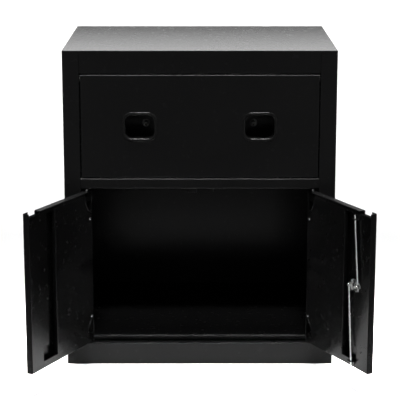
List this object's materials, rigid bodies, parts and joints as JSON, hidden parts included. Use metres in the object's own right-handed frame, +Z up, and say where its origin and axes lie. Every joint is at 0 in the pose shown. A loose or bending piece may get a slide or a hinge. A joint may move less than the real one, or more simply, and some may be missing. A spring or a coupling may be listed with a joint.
{
  "type": "hose reel cabinet",
  "caption": "Floor-standing sheet-steel workshop cabinet: upper reel bay behind a lift-up flap with hose outlets, lower cupboard with inset perforated doors and a rod lock, doors open.",
  "frame": {"origin": "on the ground at the middle of the carcass footprint, on the underside of the floor stiffener", "axes": "+X to the right seen from the front, +Y to the back, +Z up"},
  "size_m": [0.886, 0.8108, 0.858],
  "materials": {
    "black_coat": "satin black powder coat with a fine texture",
    "reel_coat": "black stove enamel on pressed steel",
    "zinc": "bright zinc plating",
    "spring_steel": "blued spring steel strip",
    "black_plastic": "moulded black nylon",
    "reel_plastic": "moulded dark nylon hub",
    "bush_plastic": "natural acetal",
    "rubber": "soft black rubber",
    "nickel": "dull nickel plating over brass",
    "brass": "turned brass, slightly dull"
  },
  "bodies": {
    "cabinet": {"axle_nuts": "zinc", "back_panel": "black_coat", "base_side_rails": "black_coat", "deck_angles": "black_coat", "deck_rivets": "zinc", "door_catches": "black_plastic", "flap_catches": "black_plastic", "floor_panel": "black_coat", "floor_stiffener": "black_coat", "front_post_left": "black_coat", "front_post_right": "black_coat", "inlet_swivels": "brass", "middle_rail": "black_coat", "pivot_bushes": "black_plastic", "plinth": "black_coat", "reel_bolts": "zinc", "reel_deck": "black_coat", "reel_left_axle": "zinc", "reel_left_bracket": "reel_coat", "reel_right_axle": "zinc", "reel_right_bracket": "reel_coat", "rod_keeper": "black_coat", "side_panel_left": "black_coat", "side_panel_right": "black_coat", "supply_grommets": "rubber", "top_panel": "black_coat", "top_rail": "black_coat"},
    "door_left": {"door_left_inner_panel": "black_coat", "door_left_pivot_blocks": "black_coat", "door_left_pivot_pins": "zinc", "door_left_screws": "zinc", "door_left_skin": "black_coat"},
    "door_right": {"door_right_inner_panel": "black_coat", "door_right_pivot_blocks": "black_coat", "door_right_pivot_pins": "zinc", "door_right_screws": "zinc", "door_right_skin": "black_coat", "lock_housing": "zinc", "rod_guides": "black_coat"},
    "lock": {"lock_spindle": "zinc", "lock_cam": "zinc", "lock_fasteners": "zinc"},
    "upper_rod": {"upper_lock_rod": "zinc"},
    "lower_rod": {"lower_lock_rod": "zinc"},
    "flap": {"flap_panel": "black_coat", "outlet_bezels": "black_plastic", "flap_pivot_pins": "zinc", "flap_pivot_blocks": "black_coat"},
    "reel_left_drum": {"reel_left_hub": "reel_plastic", "reel_left_flanges": "reel_coat", "reel_left_bushes": "bush_plastic", "reel_left_spring_case": "reel_coat", "reel_left_spring": "spring_steel", "reel_left_hose_tail": "nickel"},
    "reel_right_drum": {"reel_right_hub": "reel_plastic", "reel_right_flanges": "reel_coat", "reel_right_bushes": "bush_plastic", "reel_right_spring_case": "reel_coat", "reel_right_spring": "spring_steel", "reel_right_hose_tail": "nickel"}
  },
  "joints": [
    {"name": "door_left_swing", "type": "hinge", "parent": "cabinet", "child": "door_left", "pos_m": [-0.3015, -0.264, 0], "axis": [0, 0, -1], "range_deg": [-116.5, 0]},
    {"name": "door_right_swing", "type": "hinge", "parent": "cabinet", "child": "door_right", "pos_m": [0.3015, -0.264, 0], "axis": [0, 0, 1], "range_deg": [-116.5, 0]},
    {"name": "flap_lift", "type": "hinge", "parent": "cabinet", "child": "flap", "pos_m": [0, -0.264, 0.7837], "axis": [-1, 0, 0], "range_deg": [0, 90]},
    {"name": "lock_turn", "type": "hinge", "parent": "door_right", "child": "lock", "pos_m": [0.41463, -0.47186, 0.283], "axis": [-0.8949, -0.4462, 0], "range_deg": [0, 90]},
    {"name": "upper_rod_link", "type": "hinge", "parent": "lock", "child": "upper_rod", "pos_m": [0.40141, -0.50136, 0.286], "axis": [-0.8949, -0.4462, 0], "range_deg": [-100, 0]},
    {"name": "lower_rod_link", "type": "hinge", "parent": "lock", "child": "lower_rod", "pos_m": [0.38311, -0.46467, 0.28], "axis": [-0.8949, -0.4462, 0], "range_deg": [-101, 0]},
    {"name": "reel_left_spin", "type": "hinge", "parent": "cabinet", "child": "reel_left_drum", "pos_m": [-0.158, -0.11, 0.65], "axis": [1, 0, 0], "continuous": true},
    {"name": "reel_right_spin", "type": "hinge", "parent": "cabinet", "child": "reel_right_drum", "pos_m": [0.158, -0.11, 0.65], "axis": [1, 0, 0], "continuous": true}
  ],
  "couplings": [
    {"joint": "upper_rod_link", "follows": "lock_turn", "ratio": -1.0883},
    {"joint": "lower_rod_link", "follows": "lock_turn", "ratio": -1.0766}
  ]
}
